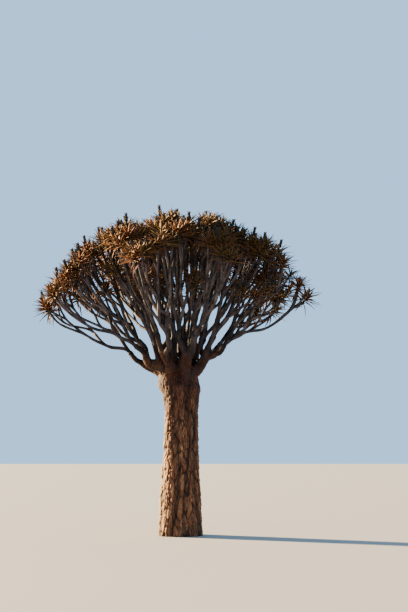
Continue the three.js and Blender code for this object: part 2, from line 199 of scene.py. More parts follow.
def dome_point(x, y):
    """The point of the dome over a place on the disc."""
    out = math.hypot(x, y)
    side = x / out if out > 0 else 0
    side_rim = lerp(RIM_LEFT, RIM_RIGHT, (side + 1) / 2)
    rim = lerp(RIM_FRONT, side_rim, side * side)
    fall = (DOME_TOP - rim) * out ** (SHOULDER + SHOULDER_RIGHT * side)
    lump = sum(height * math.exp(-(((x - at) / breadth) ** 2) - y * y) for at, height, breadth in BUMPS)
    return Vector((CROWN_X + x * DOME_HALF_WIDTH, y * DOME_HALF_DEPTH, DOME_TOP - fall + lump))


def crown_point(x, y, rise):
    """A place in the crown as a point in space."""
    reach = dome_point(x, y) - FORK
    rim = min(math.hypot(x, y), 1) ** 2
    eased = math.copysign(abs(rise) ** lerp(*BEND_EASE, rim), rise)
    bend = lerp(*BEND, rim)
    outward = math.sin(bend * eased) / math.sin(bend)
    spread = FORK_SPREAD * (1 - math.exp(-(reach.z * rise + FORK_DEPTH) / FORK_HEIGHT))
    across = lerp(x * spread, reach.x, outward)
    deep = lerp(y * spread, reach.y, outward)
    return FORK + Vector((across, deep, reach.z * rise))


def sunflower(count, inset, crowding, turn, random, stray):
    """Places spread evenly over the disc like the seeds of a sunflower, each a little off its mark."""
    places = []
    for n in range(count):
        out = inset * ((n + 0.5) / count) ** crowding
        angle = turn + n * GOLDEN_ANGLE + (next(random) - 0.5) * stray
        places.append({"x": out * math.cos(angle), "y": out * math.sin(angle)})
    return places


def mean_place(places):
    """The middle of a group of places."""
    return tuple(sum(place[key] for place in places) / len(places) for key in ("x", "y"))


def halves(places):
    """Halves a group of places across its widest spread."""
    x, y = mean_place(places)
    offsets = [((p["x"] - x) * DOME_HALF_WIDTH, (p["y"] - y) * DOME_HALF_DEPTH) for p in places]
    slant = sum(dx * dy for dx, dy in offsets)
    angle = 0.5 * math.atan2(2 * slant, sum(dx * dx - dy * dy for dx, dy in offsets))
    width = DOME_HALF_WIDTH * math.cos(angle)
    depth = DOME_HALF_DEPTH * math.sin(angle)
    ordered = sorted(places, key=lambda place: place["x"] * width + place["y"] * depth)
    half = math.ceil(len(places) / 2)
    return ordered[:half], ordered[half:]


def grow_limbs(group, level, places, limbs, random):
    """At each fork the limb carries on to half of the masses, and a side limb leaves for the rest."""
    if len(group) == 1:
        mass = group[0]
        places.append((mass["x"], mass["y"], BOUGH_RISE, stem_radius(HEADS_A_BOUGH)))
        limbs.append({"places": places, "mass": mass})
        return
    x, y = mean_place(group)
    push = FORK_PUSH[level]
    fork_x = x * push + CROOK * (2 * next(random) - 1)
    fork_y = y * push + CROOK * (2 * next(random) - 1)
    fork = (fork_x, fork_y, FORK_RISES[level])
    places.append((*fork, stem_radius(LIMB_SHARE * len(group) * HEADS_A_BOUGH)))
    main, side = halves(group)
    side_start = (*fork, stem_radius(LIMB_SHARE * len(side) * HEADS_A_BOUGH))
    grow_limbs(main, level + 1, places, limbs, random)
    grow_limbs(side, level + 1, [side_start], limbs, random)


def smooth_line(places, steps):
    """Points of a centripetal Catmull-Rom line through the places, with the radius evenly between them."""
    spots = [np.array(place[:3]) for place in places]
    spots = [2 * spots[0] - spots[1], *spots, 2 * spots[-1] - spots[-2]]
    points = []
    for span in range(len(places) - 1):
        before, start, end, after = spots[span : span + 4]
        gap = max(np.linalg.norm(end - start) ** 0.5, NO_GAP)
        gap_before = np.linalg.norm(start - before) ** 0.5
        gap_after = np.linalg.norm(after - end) ** 0.5
        gap_before = gap if gap_before < NO_GAP else gap_before
        gap_after = gap if gap_after < NO_GAP else gap_after
        leave = (start - before) / gap_before - (end - before) / (gap_before + gap) + (end - start) / gap
        arrive = (end - start) / gap - (after - start) / (gap + gap_after) + (after - end) / gap_after
        last = span == len(places) - 2
        for step in range(steps + last):
            t = step / steps
            point = (2 * t**3 - 3 * t**2 + 1) * start + (t**3 - 2 * t**2 + t) * gap * leave
            point = point + (3 * t**2 - 2 * t**3) * end + (t**3 - t**2) * gap * arrive
            points.append((*point, lerp(places[span][3], places[span + 1][3], t)))
    return points


centres = sunflower(BOUGHS, MASS_INSET, RIM_CROWDING, MASS_TURN, seeded(MASS_SEED), MASS_STRAY)
limb_foot = (0, 0, FOOT_RISE, stem_radius(HEADS_ALIVE))
limbs = []
grow_limbs(centres, 0, [limb_foot], limbs, seeded(LIMB_SEED))

# The heads and the second limbs
# Each mass parts into four groups of leaf heads, here called its heads. The masses nearest the middle
# stand on two limbs: half of their heads are carried by a second one, which leaves the trunk's head by
# itself and crowds the middle of the fork.
HEADS_A_MASS = 4
MASS_SPREAD = 0.14  # how far a mass's heads stand from its middle
EVEN = 0.5  # crowding of places that are spread evenly over a disc
HEAD_STRAY = 0.6  # how far a head strays round its mass, in radians
HEAD_MARGIN = 0.03  # how far a head keeps from the next mass
OUTERMOST = 0.97  # how far out a head may stand
DRAW_IN = 0.05  # a head too far out or too near the next mass is drawn in by this share at a time
LOW_HEAD_SHARE = 0.16  # share of the heads that stay under the dome
LOW_HEAD_RISE = (0.66, 0.84)
LOW_HEAD_REACH = 0.88  # none of these stand further out
HEAD_SEED = 23
SECOND_LIMB_REACH = 0.59  # how far out the masses that have one may stand
SECOND_LIMB = (
    (0.25, -0.04, 0.06),
    (1.1, 0.16, 0.052),
    (1, BOUGH_RISE, 0.042),
)  # share of the way out, rise and radius


def in_cell(head, mass):
    """Whether a head is on the dome and nearer to its mass than to any other, with a margin."""
    if math.hypot(head["x"], head["y"]) > OUTERMOST:
        return False
    own = math.hypot(head["x"] - mass["x"], head["y"] - mass["y"]) ** 2
    for other in centres:
        if other is mass:
            continue
        gap = math.hypot(head["x"] - other["x"], head["y"] - other["y"]) ** 2
        apart = math.hypot(other["x"] - mass["x"], other["y"] - mass["y"])
        if gap - own <= 2 * HEAD_MARGIN * apart:
            return False
    return True


head_random = seeded(HEAD_SEED)
for mass in centres:
    turn = next(head_random) * 2 * math.pi
    mass["heads"] = sunflower(HEADS_A_MASS, MASS_SPREAD, EVEN, turn, head_random, HEAD_STRAY)
    for head in mass["heads"]:
        low = next(head_random) < LOW_HEAD_SHARE
        head["rise"] = lerp(*LOW_HEAD_RISE, next(head_random)) if low else 1
        head["x"] += mass["x"]
        head["y"] += mass["y"]
        if math.hypot(head["x"], head["y"]) > LOW_HEAD_REACH:
            head["rise"] = 1
        while not in_cell(head, mass):
            head["x"] = lerp(head["x"], mass["x"], DRAW_IN)
            head["y"] = lerp(head["y"], mass["y"], DRAW_IN)


def with_rings(limb):
    """Gives a limb its rings, each (point, radius, rise), its tip, and its direction there."""
    line = smooth_line(limb["places"], LIMB_STEPS)
    limb["rings"] = [(crown_point(x, y, rise), radius, rise) for x, y, rise, radius in line]
    limb["tip"] = limb["rings"][-1][0]
    limb["along"] = (limb["tip"] - limb["rings"][-2][0]).normalized()
    return limb


for limb in limbs:
    with_rings(limb)
second_limbs = []
for limb in limbs:
    mass = limb["mass"]
    limb["bears"] = [(limb, mass["heads"])]
    if math.hypot(mass["x"], mass["y"]) > SECOND_LIMB_REACH:
        continue
    pair = halves(mass["heads"])
    inner = min(pair, key=lambda half: math.hypot(*mean_place(half)))
    x, y = mean_place(inner)
    second = with_rings({"places": [(x * out, y * out, rise, radius) for out, rise, radius in SECOND_LIMB]})
    second_limbs.append(second)
    limb["bears"] = [(second if half is inner else limb, half) for half in pair]

# The bark of the trunk
# Golden bark that splits into long plates with sharp edges, their lower ends curling off the wood. It
# thins out above the fork. The column and the feet of the limbs are fused into one skin, smooth in the
# forks, which the plates are then pushed out of.
TRUNK_VOXEL = 0.0112
TRUNK_LIMB_RISE = 0.22  # where the trunk's skin ends on the limbs
LIMB_ROUNDNESS = 4
TRUNK_SMOOTHING = 60
PLATE_WIDTH = 0.078
PLATE_HEIGHT = 0.36
PLATE_WANDER = 0.5  # how far the cracks wander, as a share of a plate
WANDER_PITCH = 0.8  # and how often, to a plate
CRACK_SEED = 5  # makes them wander the same way each time
PLATE_PITCH = 3.7  # sets one plate's number off from the next one's
CRACK_WIDTH = 0.15  # as a share of a plate
CRACK_DEPTH = 0.015
PLATE_CURL = 0.015  # how far a plate's lower end stands off
FLAKE_WIDTH = 0.045
FLAKE_HEIGHT = 0.12
FLAKE_EDGE = 0.3  # width of a flake's edge, as a share of a flake
FLAKE_DEPTH = 0.01
FLAKE_CURL = 0.011
SPLIT_WIDTH = 0.08  # thin splits in the ribs, spaced about this far apart
SPLIT_HEIGHT = 0.8
SPLIT_EDGE = (0.01, 0.09)  # from the bottom of a split to its edge
SPLIT_DEPTH = 0.01
FURROW_TOP = (2.5, 2.8)  # over these heights the furrows run out
FINE_TOP = (2.2, 2.6)  # over these the plates get thinner
FINE_SHARE = 0.35  # of the plates' relief that is left there
BARK_TOP = (2.8, 3.4)  # over these heights the golden bark gives way to the limbs' grey skin
BARK_FRAY = 0.5  # how unevenly it does
FRAY_PITCH = 4  # and how often, to a metre, as the next two pitches say
KNOTS = 0.008  # of the grey skin
KNOT_PITCH = 5
WRINKLES = 0.004
WRINKLE_PITCH = 24
LEFT_IN_CRACK = 0.14  # share of the bark's colour that shows in a crack, the rest being painted shade
LEFT_AT_FLAKE = 0.5  # at a flake's edge
LEFT_IN_SPLIT = 0.35  # in a split
LEFT_IN_FURROW = 0.3  # and at the bottom of a furrow
noise.seed_set(CRACK_SEED)


def select_only(*pieces):
    """Selects these pieces and nothing else, and makes the first one active."""
    bpy.ops.object.select_all(action="DESELECT")
    for piece in pieces:
        piece.select_set(True)
    bpy.context.view_layer.objects.active = pieces[0]


def limb_tubes(name, lines):
    """Closed tapering tubes along lines of (point, radius), as one mesh."""
    curve = bpy.data.curves.new(name, "CURVE")
    curve.dimensions = "3D"
    curve.bevel_depth = 1
    curve.bevel_resolution = LIMB_ROUNDNESS
    curve.use_fill_caps = True
    for line in lines:
        spline = curve.splines.new("POLY")
        spline.points.add(len(line) - 1)
        for point, (place, radius) in zip(spline.points, line):
            point.co = (*place, 1)
            point.radius = radius
    piece = bpy.data.objects.new(name, curve)
    bpy.context.collection.objects.link(piece)
    select_only(piece)
    bpy.ops.object.convert(target="MESH")
    return bpy.context.object


def fuse(parts, name, voxel, smoothing):
    """Overlapping closed parts as one skin, smooth in the forks."""
    select_only(*parts)
    if len(parts) > 1:
        bpy.ops.object.join()
    piece = bpy.context.object
    piece.name = name
    remesh = piece.modifiers.new("skin", "REMESH")
    remesh.mode = "VOXEL"
    remesh.voxel_size = voxel
    smooth = piece.modifiers.new("forks", "SMOOTH")
    smooth.iterations = smoothing
    bpy.ops.object.modifier_apply(modifier="skin")
    bpy.ops.object.modifier_apply(modifier="forks")
    return piece


def ease(value, low, high):
    """0 below low, 1 above high, and smooth between."""
    share = min(max((value - low) / (high - low), 0), 1)
    return share * share * (3 - 2 * share)


def cells(point, width, height, wander):
    """The long cell over a point: how far its edge is, how far its end is, and a number of its own."""
    spot = Vector((point.x / width, point.y / width, point.z / height))
    spot += noise.noise_vector(spot * WANDER_PITCH) * wander
    distances, middles = noise.voronoi(spot)
    number = noise.cell(middles[0] * PLATE_PITCH) * 0.5 + 0.5
    return distances[1] - distances[0], (middles[0] - spot).z, number


def bark_relief(point):
    """How far the skin stands out at a point, and what its colour needs: painted shade in cracks and
    furrows, plate and grey.
    """
    edge, below, number = cells(point, PLATE_WIDTH, PLATE_HEIGHT, PLATE_WANDER)
    whole = ease(edge, 0, CRACK_WIDTH)
    flake_edge, flake_below, _ = cells(point, FLAKE_WIDTH, FLAKE_HEIGHT, PLATE_WANDER)
    flake = ease(flake_edge, 0, FLAKE_EDGE)
    split = noise.noise(Vector((point.x / SPLIT_WIDTH, point.y / SPLIT_WIDTH, point.z / SPLIT_HEIGHT)))
    closed = ease(abs(split), *SPLIT_EDGE)
    fray = BARK_FRAY * noise.noise(point * FRAY_PITCH)
    grey = ease(point.z + fray, *BARK_TOP)
    angle = math.atan2(point.x - TRUNK_LEAN * point.z / shoulder, point.y)
    deep = furrow(angle, point.z) * (1 - ease(point.z, *FURROW_TOP))
    plate = CRACK_DEPTH * (whole - 1) + PLATE_CURL * below * whole + SPLIT_DEPTH * (closed - 1)
    plate += FLAKE_DEPTH * (flake - 1) + FLAKE_CURL * flake_below * flake
    plate *= lerp(1, FINE_SHARE, ease(point.z, *FINE_TOP))
    skin = KNOTS * noise.noise(point * KNOT_PITCH) + WRINKLES * noise.noise(point * WRINKLE_PITCH)
    out = lerp(plate, skin, grey)
    # How much of the colour is given over to painted shade in the cracks, splits, flake edges and furrows
    left = lerp(LEFT_IN_CRACK, 1, whole) * lerp(LEFT_AT_FLAKE, 1, flake)
    left *= lerp(LEFT_IN_SPLIT, 1, closed) * lerp(1, LEFT_IN_FURROW, deep)
    return out, 1 - left, number, grey


def add_relief(piece):
    """Pushes a piece's skin out by its relief, and keeps what the relief says of its colour, with painted
    shade in its cracks.
    """
    mesh = piece.data
    values = [bark_relief(vertex.co) for vertex in mesh.vertices]
    normals = [vertex.normal.copy() for vertex in mesh.vertices]
    for vertex, normal, value in zip(mesh.vertices, normals, values):
        vertex.co += normal * value[0]
    for n, name in enumerate(("crack_shade", "plate", "grey")):
        attribute = mesh.attributes.new(name, "FLOAT", "POINT")
        attribute.data.foreach_set("value", [value[n + 1] for value in values])
    mesh.shade_smooth()


trunk_lines = []
for limb in limbs + second_limbs:
    line = [(point, radius) for point, radius, rise in limb["rings"] if rise < TRUNK_LIMB_RISE]
    if len(line) > 1:
        trunk_lines.append(line)
trunk = fuse([column, limb_tubes("limb_feet", trunk_lines)], "golden_trunk", TRUNK_VOXEL, TRUNK_SMOOTHING)
add_relief(trunk)
select_only(trunk)
bpy.ops.object.mode_set(mode="EDIT")
bpy.ops.mesh.select_all(action="SELECT")
bpy.ops.mesh.bisect(plane_co=(0, 0, 0), plane_no=(0, 0, 1), use_fill=True, clear_inner=True)
bpy.ops.object.mode_set(mode="OBJECT")

MIX_COLOURS = (6, 7)  # a Mix node's sockets for its two colours
MIXED_COLOUR = 2  # and for what comes out


class Value:
    """What comes out of a shader node, for sums written as Python expressions."""

    def __init__(self, finish, socket):
        self.finish = finish
        self.socket = socket

    def sum(self, operation, first, second):
        return self.finish.node("ShaderNodeMath", {"operation": operation}, {0: first, 1: second})

    def __add__(self, other):
        return self.sum("ADD", self, other)

    def __radd__(self, other):
        return self.sum("ADD", other, self)

    def __sub__(self, other):
        return self.sum("SUBTRACT", self, other)

    def __rsub__(self, other):
        return self.sum("SUBTRACT", other, self)

    def __mul__(self, other):
        return self.sum("MULTIPLY", self, other)

    def __rmul__(self, other):
        return self.sum("MULTIPLY", other, self)


class Finish:
    """A material whose nodes all come from one method."""

    def __init__(self, name, roughness, sheen=0.2):
        self.material = bpy.data.materials.new(name)
        self.material.use_nodes = True
        self.tree = self.material.node_tree
        self.shader = self.tree.nodes["Principled BSDF"]
        self.shader.inputs["Roughness"].default_value = roughness
        self.shader.inputs["Specular IOR Level"].default_value = sheen

    def node(self, kind, settings, inputs, output=0):
        made = self.tree.nodes.new(kind)
        for name, value in settings.items():
            setattr(made, name, value)
        for name, value in inputs.items():
            self.put(made.inputs[name], value)
        return Value(self, made.outputs[output])

    def put(self, socket, value):
        if isinstance(value, Value):
            self.tree.links.new(value.socket, socket)
        else:
            socket.default_value = value

    def place(self, scale):
        """The piece's own place, scaled along each axis."""
        at = self.node("ShaderNodeTexCoord", {}, {}, "Object")
        return self.node("ShaderNodeVectorMath", {"operation": "MULTIPLY"}, {0: at, 1: scale})

    def noise(self, scale, detail):
        inputs = {"Vector": self.place(scale), "Scale": 1, "Detail": detail}
        return self.node("ShaderNodeTexNoise", {}, inputs)

    def mix(self, share, first, second):
        """A colour between two, each a linear (red, green, blue)."""
        inputs = {0: share}
        for socket, tint in zip(MIX_COLOURS, (first, second)):
            inputs[socket] = tint if isinstance(tint, Value) else (*tint, 1)
        return self.node("ShaderNodeMix", {"data_type": "RGBA"}, inputs, MIXED_COLOUR)

    def tinted(self, first, second):
        """Two colours multiplied."""
        return self.node("ShaderNodeVectorMath", {"operation": "MULTIPLY"}, {0: first, 1: second})

    def attribute(self, name):
        return self.node("ShaderNodeAttribute", {"attribute_name": name}, {}, "Fac")

    def span(self, value, low, high):
        """A value stretched so that low is 0 and high is 1, and kept between."""
        return self.node("ShaderNodeMapRange", {}, {0: value, 1: low, 2: high})

    def patches(self, scale, detail, low, high):
        """Uneven patches, so many to a metre along each axis: 0 outside them and 1 inside."""
        return self.span(self.noise(scale, detail), low, high)

    def bump(self, height, distance):
        inputs = {"Height": height, "Distance": distance}
        self.put(self.shader.inputs["Normal"], self.node("ShaderNodeBump", {}, inputs))

    def colour(self, value):
        self.put(self.shader.inputs["Base Color"], value)


GOLD = (0.26, 0.1, 0.039)  # linear red, green and blue, as in every colour
AMBER = (0.165, 0.055, 0.022)
STRAW = (0.5, 0.27, 0.13)
# painted sunlight: a pale cream that lightens the trunk's side towards the key light
PAINTED_SUN_TINT = (0.345, 0.21, 0.09)
STRAW_PATCHES = ((16, 16, 6), 4, 0.45, 0.7)  # pitches, detail, and where a patch begins and is whole
AMBER_STREAKS = ((70, 70, 16), 4, 0.55, 0.7)
PATCH_SHARE = 0.5  # how much of their tint both of them have
PAINTED_SUN_SIDE = (-0.83, 0.56, 0)  # the way that the side with painted sunlight faces, towards the key light
PAINTED_SUN_SPAN = (0, 0.15)  # how far out that way the painted sunlight begins, and is whole
PAINTED_SUN_SHARE = 0.85
PAINTED_SUN_FRAY = ((20, 20, 5), 4)  # how unevenly the painted sunlight ends, and over what depth
FRAY_DEPTH = 0.2
BARK_GRAIN = ((60, 60, 14), 6)
FINE_GRAIN = ((180, 180, 60), 3)
FINE_GRAIN_SHARE = 0.4
GRAIN_DEPTH = 0.008
BARK_ROUGHNESS = 0.78
# painted shade: the dark put into cracks, splits, flake edges and furrows, where the relief's shadow falls
CRACK_SHADE = (0.008, 0.004, 0.0025)
GREY = (0.0165, 0.0132, 0.0145)
PALE_GREY = (0.088, 0.073, 0.077)
DARK_GREY = (0.008, 0.0058, 0.0058)
WEATHERING = ((9, 9, 4), 5, 0.4, 0.62)
STAINS = ((3, 3, 3), 3, 0.5, 0.7)
STAIN_SHARE = 0.55
FORK_SHADE = (0.28, 0.2, 0.18)  # what the bark keeps of its colour in the fork's painted shade
FORK_FOOT = (1.9, 2.75)  # over these heights the painted shade deepens
FORK_TOP = (3.1, 4.1)  # and pales again


def grey_skin(finish):
    """The limbs' smooth skin: grey with a touch of mauve, paler where it weathers, and stained."""
    weathered = finish.mix(finish.patches(*WEATHERING), GREY, PALE_GREY)
    return finish.mix(finish.patches(*STAINS) * STAIN_SHARE, weathered, DARK_GREY)


def painted_fork_shade(finish, colour):
    """Painted shade: bark and stems are darkened from low on the trunk up to the fork, under the crown, and
    less so higher up.
    """
    height = finish.node("ShaderNodeSeparateXYZ", {}, {0: finish.place((1, 1, 1))}, "Z")
    fork_shade_share = finish.span(height, *FORK_FOOT) * (1 - finish.span(height, *FORK_TOP))
    return finish.mix(fork_shade_share, colour, finish.tinted(colour, FORK_SHADE))


golden_bark = Finish("golden_bark", BARK_ROUGHNESS)
gold = golden_bark.mix(golden_bark.attribute("plate"), AMBER, GOLD)
gold = golden_bark.mix(golden_bark.patches(*STRAW_PATCHES) * PATCH_SHARE, gold, STRAW)
gold = golden_bark.mix(golden_bark.patches(*AMBER_STREAKS) * PATCH_SHARE, gold, AMBER)
# Painted sunlight: the side of the trunk that the key light falls on is made paler in its colour
place_and_side = {0: golden_bark.place((1, 1, 1)), 1: PAINTED_SUN_SIDE}
out = golden_bark.node("ShaderNodeVectorMath", {"operation": "DOT_PRODUCT"}, place_and_side, "Value")
fray = (golden_bark.noise(*PAINTED_SUN_FRAY) - 0.5) * FRAY_DEPTH
painted_sun = golden_bark.span(out + fray, *PAINTED_SUN_SPAN) * PAINTED_SUN_SHARE
gold = golden_bark.mix(painted_sun, gold, PAINTED_SUN_TINT)
# Painted shade in the cracks, splits, flake edges and furrows
gold = golden_bark.mix(golden_bark.attribute("crack_shade"), gold, CRACK_SHADE)
bark = golden_bark.mix(golden_bark.attribute("grey"), gold, grey_skin(golden_bark))
# The bark's colour, with the fork's painted shade
golden_bark.colour(painted_fork_shade(golden_bark, bark))
grain = golden_bark.noise(*BARK_GRAIN) + golden_bark.noise(*FINE_GRAIN) * FINE_GRAIN_SHARE
golden_bark.bump(grain, GRAIN_DEPTH)
trunk.data.materials.append(golden_bark.material)
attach(trunk, "root")
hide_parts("trunk")

# The masses' stems
# A mass forks four times, its stems thick and smooth to the end, until each bears one leaf head. The
# first two forks lead to the mass's four heads and the others to the leaf heads of each. They sit on the
# dome, but some stop short under it.
TWIG_RISES = (0.37, 0.48)  # of a mass's first two forks
TWIG_UPTURN = 0.4  # how far a stem turns from its own line to upright by its end
FORK_UPTURN = 0.13  # and by each fork on the way
FINE_HEADS = 4  # leaf heads to each of a mass's heads
LOW_FINE_HEADS = 2  # and to each that stays under the dome
FINE_SPREAD = 0.078  # how far they stand from its middle
FINE_GIRTH = 0.82  # above a mass's first fork, stems are this much of the girth that their heads call for
FINE_FORKS = (0.23, 0.54)  # where on the way up to them their stems fork
FINE_DROP = 0.07  # how far a leaf head may stay under the dome, as a share of its rise
FINE_LOW_SHARE = 0.04  # share of them that stop well short of it
FINE_LOW_RISE = (0.7, 0.86)
TWIG_STEPS = 6
TWIG_WOBBLE = 0.016  # how far a stem's line strays
TWIG_TAPER = 0.95  # from one fork to the next
FINE_SEED = 63
TWIG_SEED = 301  # of the first mass, the others' following on


def bezier(start, leave, arrive, end, share):
    """A point of a cubic Bezier line."""
    rest = 1 - share
    return rest**3 * start + 3 * rest**2 * share * leave + 3 * rest * share**2 * arrive + share**3 * end


def stretch(start, along, to, upturn, wobble):
    """The line of a stem from one fork to the next, and its direction there."""
    end = crown_point(*to)
    chord = end - start
    third = chord.length / 3
    end_along = chord.normalized().lerp(UP, upturn).normalized()
    stray = Vector((next(wobble) - 0.5, next(wobble) - 0.5, 0)) * 2 * TWIG_WOBBLE
    leave = start + along * third + stray
    arrive = end - end_along * third - stray
    line = [bezier(start, leave, arrive, end, n / TWIG_STEPS) for n in range(TWIG_STEPS + 1)]
    return line, end_along


fine_random = seeded(FINE_SEED)


def fine_heads(head):
    """The leaf heads that stand round one of a mass's heads, on the dome or a little under it."""
    turn = next(fine_random) * 2 * math.pi
    count = FINE_HEADS if head["rise"] == 1 else LOW_FINE_HEADS
    heads = sunflower(count, FINE_SPREAD, EVEN, turn, fine_random, HEAD_STRAY)
    for fine in heads:
        fine["x"] += head["x"]
        fine["y"] += head["y"]
        out = max(math.hypot(fine["x"], fine["y"]) / OUTERMOST, 1)
        fine["x"] /= out
        fine["y"] /= out
        fine["rise"] = head["rise"] * (1 - FINE_DROP * next(fine_random))
        low = next(fine_random) < FINE_LOW_SHARE and math.hypot(fine["x"], fine["y"]) < LOW_HEAD_REACH
        if head["rise"] == 1 and low:
            fine["rise"] = lerp(*FINE_LOW_RISE, next(fine_random))
    return heads


def grow_twigs(group, level, start, along, mass_share, wobble):
    """The stems from a fork on. A group is of the mass's heads at first, and then of leaf heads."""
    if level == len(TWIG_RISES) and len(group) == 1:
        group = fine_heads(group[0])
    if len(group) == 1 and level >= len(TWIG_RISES):
        head = group[0]
        line, end_along = stretch(start, along, (head["x"], head["y"], head["rise"]), TWIG_UPTURN, wobble)
        radii = (FINE_GIRTH * stem_radius(mass_share), FINE_GIRTH * STEM_RADIUS)
        twigs.append({"line": line, "radii": radii})
        heads.append({"end": line[-1], "axis": end_along, "x": head["x"], "y": head["y"]})
        return
    rises = TWIG_RISES
    if level >= len(TWIG_RISES):
        lowest = min(head["rise"] for head in group)
        rises += tuple(lerp(TWIG_RISES[-1], lowest, share) for share in FINE_FORKS)
    line, end_along = stretch(start, along, (*mean_place(group), rises[level]), FORK_UPTURN, wobble)
    radius = stem_radius(mass_share) * (FINE_GIRTH if level else 1)
    twigs.append({"line": line, "radii": (radius, radius * TWIG_TAPER)})
    for half in halves(group):
        grow_twigs(half, level + 1, line[-1], end_along, mass_share / 2, wobble)


twigs = []
heads = []
for n, limb in enumerate(limbs):
    wobble = seeded(TWIG_SEED + n)
    for bearer, group in limb["bears"]:
        level = 0 if len(group) == HEADS_A_MASS else 1
        bearer["first"] = len(twigs)
        grow_twigs(group, level, bearer["tip"], bearer["along"], HEADS_A_BOUGH / 2**level, wobble)

# The boughs
# Grey limbs with a smooth, slightly wrinkled skin, which swell and merge where they fork. Each runs up to
# the first fork of its mass. All are fused into one skin.
BOUGH_VOXEL = 0.0125
BOUGH_SMOOTHING = 14
BOUGH_START_RISE = 0.185  # inside the trunk's skin

bough_lines = []
for limb in limbs + second_limbs:
    rings = limb["rings"]
    from_trunk = rings[0][2] < BOUGH_START_RISE
    line = [(point, radius) for point, radius, rise in rings if not from_trunk or rise >= BOUGH_START_RISE]
    first = twigs[limb["first"]]
    line += [(point, first["radii"][0]) for point in first["line"][1:]]
    bough_lines.append(line)
boughs = fuse([limb_tubes("boughs", bough_lines)], "grey_boughs", BOUGH_VOXEL, BOUGH_SMOOTHING)
add_relief(boughs)
boughs.data.materials.append(golden_bark.material)
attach(boughs, "root")
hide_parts(*(f"bough_{n + 1:02d}" for n in range(BOUGHS)))

# The stems' meshes
# Each stem is a round tapering tube with a smooth grey skin. It starts inside its parent and ends in a
# blunt dome under its leaves.
STEM_SIDES = 9
STEM_SUNK = 0.7  # how far it starts inside its parent, in radii
STEM_FOOT = 0.8  # its girth there, as a share
STEM_DOME = 0.6  # how far the dome at its end stands up, in radii
STEM_BLUNT = 0.55  # and how wide the dome's flat top is
STEM_ROUGHNESS = 0.7
STEM_GRAIN = ((60, 60, 26), 5)
STEM_GRAIN_DEPTH = 0.004
masses = [f"mass_{n + 1:02d}" for n in range(BOUGHS)]


def joined(name, parts, finish):
    """Many small closed parts, each (vertices, faces), as one piece."""
    start = 0
    faces = []
    for vertices, part_faces in parts:
        faces += [tuple(start + corner for corner in face) for face in part_faces]
        start += len(vertices)
    mesh = bpy.data.meshes.new(name)
    mesh.from_pydata(np.concatenate([vertices for vertices, _ in parts]).tolist(), [], faces)
    mesh.materials.append(finish.material)
    piece = bpy.data.objects.new(name, mesh)
    bpy.context.collection.objects.link(piece)
    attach(piece, "root")
    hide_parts(*masses)
    return piece


def tube(line, radii, sides):
    """A closed tube along a line of points, its rings turned as little as they can be."""
    vertices = []
    along = (line[1] - line[0]).normalized()
    side = along.orthogonal().normalized()
    for n, (point, radius) in enumerate(zip(line, radii)):
        ahead = line[min(n + 1, len(line) - 1)] - line[max(n - 1, 0)]
        side = (side - ahead * (side.dot(ahead) / ahead.length_squared)).normalized()
        other = ahead.normalized().cross(side)
        for k in range(sides):
            angle = 2 * math.pi * k / sides
            vertices.append(point + (side * math.cos(angle) + other * math.sin(angle)) * radius)
    faces = [tuple(reversed(range(sides))), tuple(range(len(vertices) - sides, len(vertices)))]
    for n in range(len(line) - 1):
        for k in range(sides):
            low, high = n * sides, (n + 1) * sides
            faces.append((low + k, low + (k + 1) % sides, high + (k + 1) % sides, high + k))
    return np.array(vertices), faces


stem_parts = []
in_boughs = [limb["first"] for limb in limbs + second_limbs]
for n, twig in enumerate(twigs):
    if n in in_boughs:
        continue
    line = twig["line"]
    start_radius, end_radius = twig["radii"]
    along = (line[1] - line[0]).normalized()
    end_along = (line[-1] - line[-2]).normalized()
    radii = [lerp(start_radius, end_radius, k / TWIG_STEPS) for k in range(TWIG_STEPS + 1)]
    foot = line[0] - along * start_radius * STEM_SUNK
    tip = line[-1] + end_along * end_radius * STEM_DOME
    radii = [start_radius * STEM_FOOT, *radii, end_radius * STEM_BLUNT]
    stem_parts.append(tube([foot, *line, tip], radii, STEM_SIDES))
stem_skin = Finish("stem_skin", STEM_ROUGHNESS)
# The stems' grey skin, with the fork's painted shade where they are low in the crown
stem_skin.colour(painted_fork_shade(stem_skin, grey_skin(stem_skin)))
stem_skin.bump(stem_skin.noise(*STEM_GRAIN), STEM_GRAIN_DEPTH)
stems = joined("grey_stems", stem_parts, stem_skin)
stems.data.shade_smooth()

# The leaves
# Thick narrow leaves with a channel above and a keel below, which spring from all round the last of each
# stem: upright in the middle of the head, level with drooping tips further out, and hanging and dead at
# the bottom. Each head has its own tint, and the dead leaves are all of one.
LIVE_LEAVES = 20
DEAD_LEAVES = 3
LEAF_ROW = 0.12  # length of stem over which a head's leaves are set
LEAF_TOP = 0.01  # how far under the stem's end the row begins
LEAF_ROOT = 0.0136  # how far from the stem's middle the leaves start
LEAF_LENGTH = 0.29
LENGTH_STRAY = (0.85, 1.1)
INNER_LENGTH = 0.62  # of the innermost leaves, as a share
FULL_LENGTH = 1 / 3  # how far down the row the leaves are of full length, as a share
LEAF_WIDTH = 0.042
LEAF_SPREAD = (0.5, 1.65)  # angle between the leaves and the stem, innermost and outermost
SPREAD_EASE = 0.8  # how soon down the row they spread
SPREAD_STRAY = 0.1
LEAF_CURLS = (-0.05, -0.15)  # how far the tips rise, in lengths of a leaf: they droop
CURL_STRAY = 0.05
DEAD_SPREAD = (1.85, 2.35)
DEAD_CURLS = (-0.1, -0.3)
DEAD_SIZE = 0.8  # of a dead leaf, as a share of a live one
DEAD_DROP = 0.9  # how far down the row the dead leaves begin
LEAF_STATIONS = (
    (0, 0.44),
    (0.14, 0.5),
    (0.45, 0.4),
    (0.78, 0.2),
)  # share of the length, and half the width there
LEAF_CHANNEL = 0.1  # its depth, and the keel's, as a share of the width there
LEAF_KEEL = 0.34
LEAF_SEED = 7
